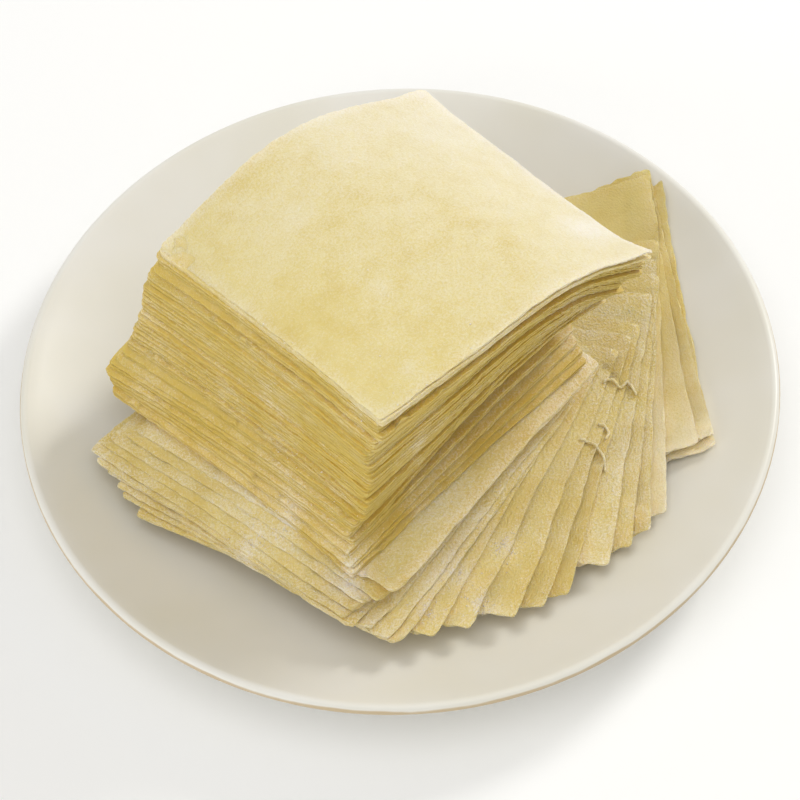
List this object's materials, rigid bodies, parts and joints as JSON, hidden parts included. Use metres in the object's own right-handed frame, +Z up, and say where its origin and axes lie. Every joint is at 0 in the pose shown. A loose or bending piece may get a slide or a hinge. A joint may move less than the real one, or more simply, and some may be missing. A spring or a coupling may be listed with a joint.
{
  "type": "stack of wonton wrappers on a plate",
  "caption": "Square sheets of thin floured dough, fanned at the foot and stacked in a leaning block, on a round coupe plate of cream porcelain.",
  "frame": {"origin": "middle of the plate's foot ring, on the surface that it stands on", "axes": "+Z up; -Y towards the viewer, where the fan opens; +X to the viewer's right"},
  "size_m": [0.21, 0.21, 0.1012],
  "materials": {
    "dough": null,
    "porcelain": "clear glazed cream porcelain with a thin tan line on the lip"
  },
  "bodies": {
    "root": {"plate": "porcelain", "wrapper_01": "dough", "wrapper_02": "dough", "wrapper_03": "dough", "wrapper_04": "dough", "wrapper_05": "dough", "wrapper_06": "dough", "wrapper_07": "dough", "wrapper_08": "dough", "wrapper_09": "dough", "wrapper_10": "dough", "wrapper_11": "dough", "wrapper_12": "dough", "wrapper_13": "dough", "wrapper_14": "dough", "wrapper_15": "dough", "wrapper_16": "dough", "wrapper_17": "dough", "wrapper_18": "dough", "wrapper_19": "dough", "wrapper_20": "dough", "wrapper_21": "dough", "wrapper_22": "dough", "wrapper_23": "dough", "wrapper_24": "dough", "wrapper_25": "dough", "wrapper_26": "dough", "wrapper_27": "dough", "wrapper_28": "dough", "wrapper_29": "dough", "wrapper_30": "dough", "wrapper_31": "dough", "wrapper_32": "dough", "wrapper_33": "dough", "wrapper_34": "dough", "wrapper_35": "dough", "wrapper_36": "dough", "wrapper_37": "dough", "wrapper_38": "dough", "wrapper_39": "dough", "wrapper_40": "dough", "wrapper_41": "dough", "wrapper_42": "dough", "wrapper_43": "dough", "wrapper_44": "dough", "wrapper_45": "dough", "wrapper_46": "dough", "wrapper_47": "dough", "wrapper_48": "dough", "wrapper_49": "dough", "wrapper_50": "dough", "wrapper_51": "dough", "wrapper_52": "dough", "wrapper_53": "dough", "wrapper_54": "dough", "wrapper_55": "dough", "wrapper_56": "dough", "wrapper_57": "dough", "wrapper_58": "dough", "wrapper_59": "dough"}
  },
  "joints": []
}
